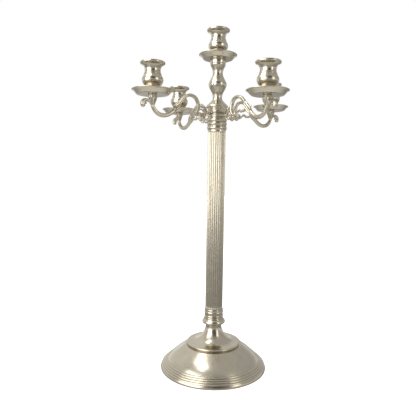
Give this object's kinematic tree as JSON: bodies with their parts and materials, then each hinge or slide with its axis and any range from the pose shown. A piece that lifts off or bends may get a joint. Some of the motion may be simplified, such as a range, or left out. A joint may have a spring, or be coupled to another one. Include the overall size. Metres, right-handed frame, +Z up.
{
  "type": "tabletop candelabra",
  "caption": "Tall table candelabra: fluted column on a ridged round base, crossed scrolled arms that swivel, drip pans and candle cups.",
  "frame": {"origin": "centre of the base's underside, on the table", "axes": "+Z up along the column; the upper arm casting lies along X and the lower one along Y at rest"},
  "size_m": [0.3546, 0.3546, 0.66],
  "materials": {
    "plated_casting": "satin nickel plate over cast brass, lightly tarnished",
    "plated_sheet": "satin nickel plate over spun sheet, lightly tarnished",
    "ballast_iron": "raw casting",
    "felt": "dark wool felt",
    "zinc_steel": "zinc plated"
  },
  "bodies": {
    "stand": {"base_skirt": "plated_sheet", "base_cap": "plated_sheet", "base_ballast": "ballast_iron", "base_felt": "felt", "base_washer": "zinc_steel", "base_nut": "zinc_steel", "foot_ring": "plated_casting", "column_tube": "plated_sheet", "lower_collar": "plated_casting", "upper_collar": "plated_casting", "tie_rod": "zinc_steel", "stem_spacer": "plated_casting", "stem": "plated_casting", "center_pan": "plated_sheet", "center_cup": "plated_casting", "center_screw": "zinc_steel"},
    "lower_arms": {"lower_branch": "plated_casting", "front_pan": "plated_sheet", "front_cup": "plated_casting", "front_screw": "zinc_steel", "back_pan": "plated_sheet", "back_cup": "plated_casting", "back_screw": "zinc_steel"},
    "upper_arms": {"upper_branch": "plated_casting", "left_pan": "plated_sheet", "left_cup": "plated_casting", "left_screw": "zinc_steel", "right_pan": "plated_sheet", "right_cup": "plated_casting", "right_screw": "zinc_steel"}
  },
  "joints": [
    {"name": "lower_arms_swivel", "type": "hinge", "parent": "stand", "child": "lower_arms", "pos_m": [0, 0, 0.4965], "axis": [0, 0, 1], "continuous": true},
    {"name": "upper_arms_swivel", "type": "hinge", "parent": "lower_arms", "child": "upper_arms", "pos_m": [0, 0, 0.5005], "axis": [0, 0, 1], "range_deg": [-58, 58]}
  ]
}
